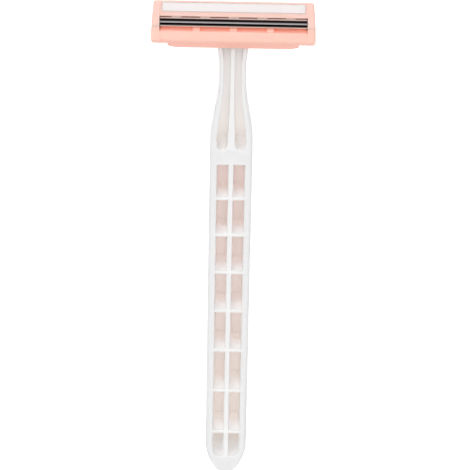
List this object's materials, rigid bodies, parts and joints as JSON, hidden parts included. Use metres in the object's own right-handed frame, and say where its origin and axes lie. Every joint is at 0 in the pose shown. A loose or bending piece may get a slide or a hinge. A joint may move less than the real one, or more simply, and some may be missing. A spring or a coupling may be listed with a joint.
{
  "type": "shaving razor",
  "caption": "Fixed-head disposable razor lying on its back: slim white handle with a cored face, and a tilted pink head with blades, guard bar and lubricating strip.",
  "frame": {"origin": "middle of the bounding box's underside, on the surface that the handle lies on", "axes": "+Y from the handle's tail to the head, +X along the head's width, +Z out of the handle's cored face, on the side of the shaving face"},
  "size_m": [0.04, 0.1336, 0.0092],
  "materials": {
    "handle_plastic": "satin moulded plastic, white",
    "head_plastic": "satin moulded plastic, pale pink",
    "blade_steel": "ground steel",
    "spacer_plastic": "dark, matt",
    "strip_wax": "smooth, off-white"
  },
  "bodies": {
    "root": {"handle": "handle_plastic", "blade_platform": "head_plastic", "lower_blade": "blade_steel", "spacer": "spacer_plastic", "upper_blade": "blade_steel", "cap": "head_plastic", "lubricating_strip": "strip_wax"}
  },
  "joints": []
}
